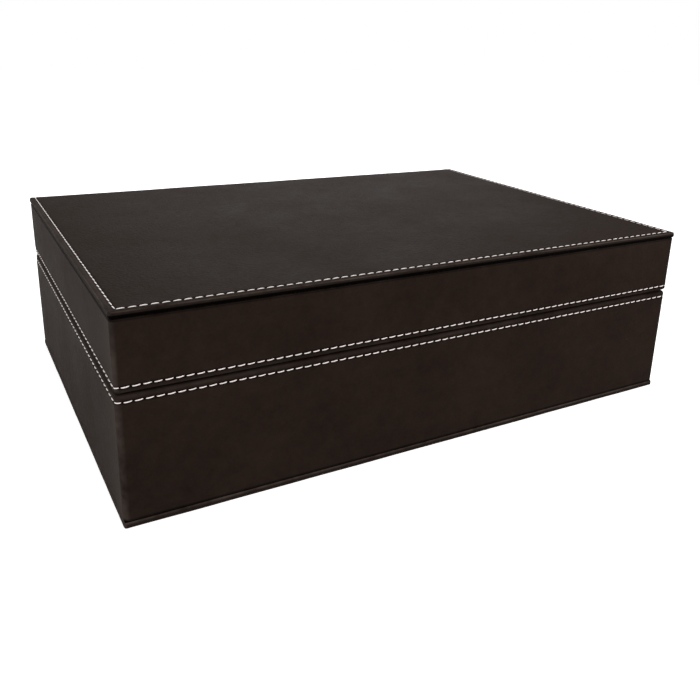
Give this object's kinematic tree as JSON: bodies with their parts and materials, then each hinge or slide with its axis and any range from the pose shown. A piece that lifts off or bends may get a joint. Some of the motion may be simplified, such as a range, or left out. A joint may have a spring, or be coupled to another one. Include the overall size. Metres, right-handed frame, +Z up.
{
  "type": "leatherette gift box",
  "caption": "Rectangular keepsake box of leatherette-wrapped boards with a lined base and a book-hinged lined lid, sewn round the rims and the top in light thread.",
  "frame": {"origin": "middle of the underside that the box rests on", "axes": "+X to the right along the width seen from the front, +Y from the front to the hinged back, +Z up, lid shut"},
  "size_m": [0.3052, 0.2164, 0.0933],
  "materials": {
    "slab_leatherette": "dark espresso brown leatherette, fine grain, soft sheen, pressed and sewn",
    "wall_leatherette": "dark espresso brown leatherette, fine grain, soft sheen, rolled over the rim",
    "greyboard": "grey bookbinder's board",
    "fibreboard": "raw fibreboard, edges eased",
    "thread": "off-white twisted sewing thread",
    "velvet": "black-brown short-pile velvet over card",
    "magnet": "nickel-plated disc magnet"
  },
  "bodies": {
    "base": {"bottom_cover": "slab_leatherette", "bottom_board": "greyboard", "base_front_board": "fibreboard", "base_back_board": "fibreboard", "base_left_board": "fibreboard", "base_right_board": "fibreboard", "base_wall_cover": "wall_leatherette", "base_back_sheet": "slab_leatherette", "back_sheet_fold": "slab_leatherette", "base_rim_stitching": "thread", "base_back_stitching_left": "thread", "base_back_stitching_right": "thread", "base_magnet_left": "magnet", "base_magnet_right": "magnet", "base_floor_lining": "velvet", "base_front_lining": "velvet", "base_back_lining": "velvet", "base_left_lining": "velvet", "base_right_lining": "velvet"},
    "lid": {"top_cover": "slab_leatherette", "top_board": "greyboard", "lid_front_board": "fibreboard", "lid_back_board": "fibreboard", "lid_left_board": "fibreboard", "lid_right_board": "fibreboard", "lid_wall_cover": "wall_leatherette", "lid_rim_stitching": "thread", "lid_top_stitching": "thread", "lid_magnet_left": "magnet", "lid_magnet_right": "magnet", "lid_ceiling_lining": "velvet", "lid_front_lining": "velvet", "lid_back_lining": "velvet", "lid_left_lining": "velvet", "lid_right_lining": "velvet"}
  },
  "joints": [
    {"name": "lid_hinge", "type": "hinge", "parent": "base", "child": "lid", "pos_m": [0, 0.108, 0.059], "axis": [-1, 0, 0], "range_deg": [0, 165]}
  ]
}
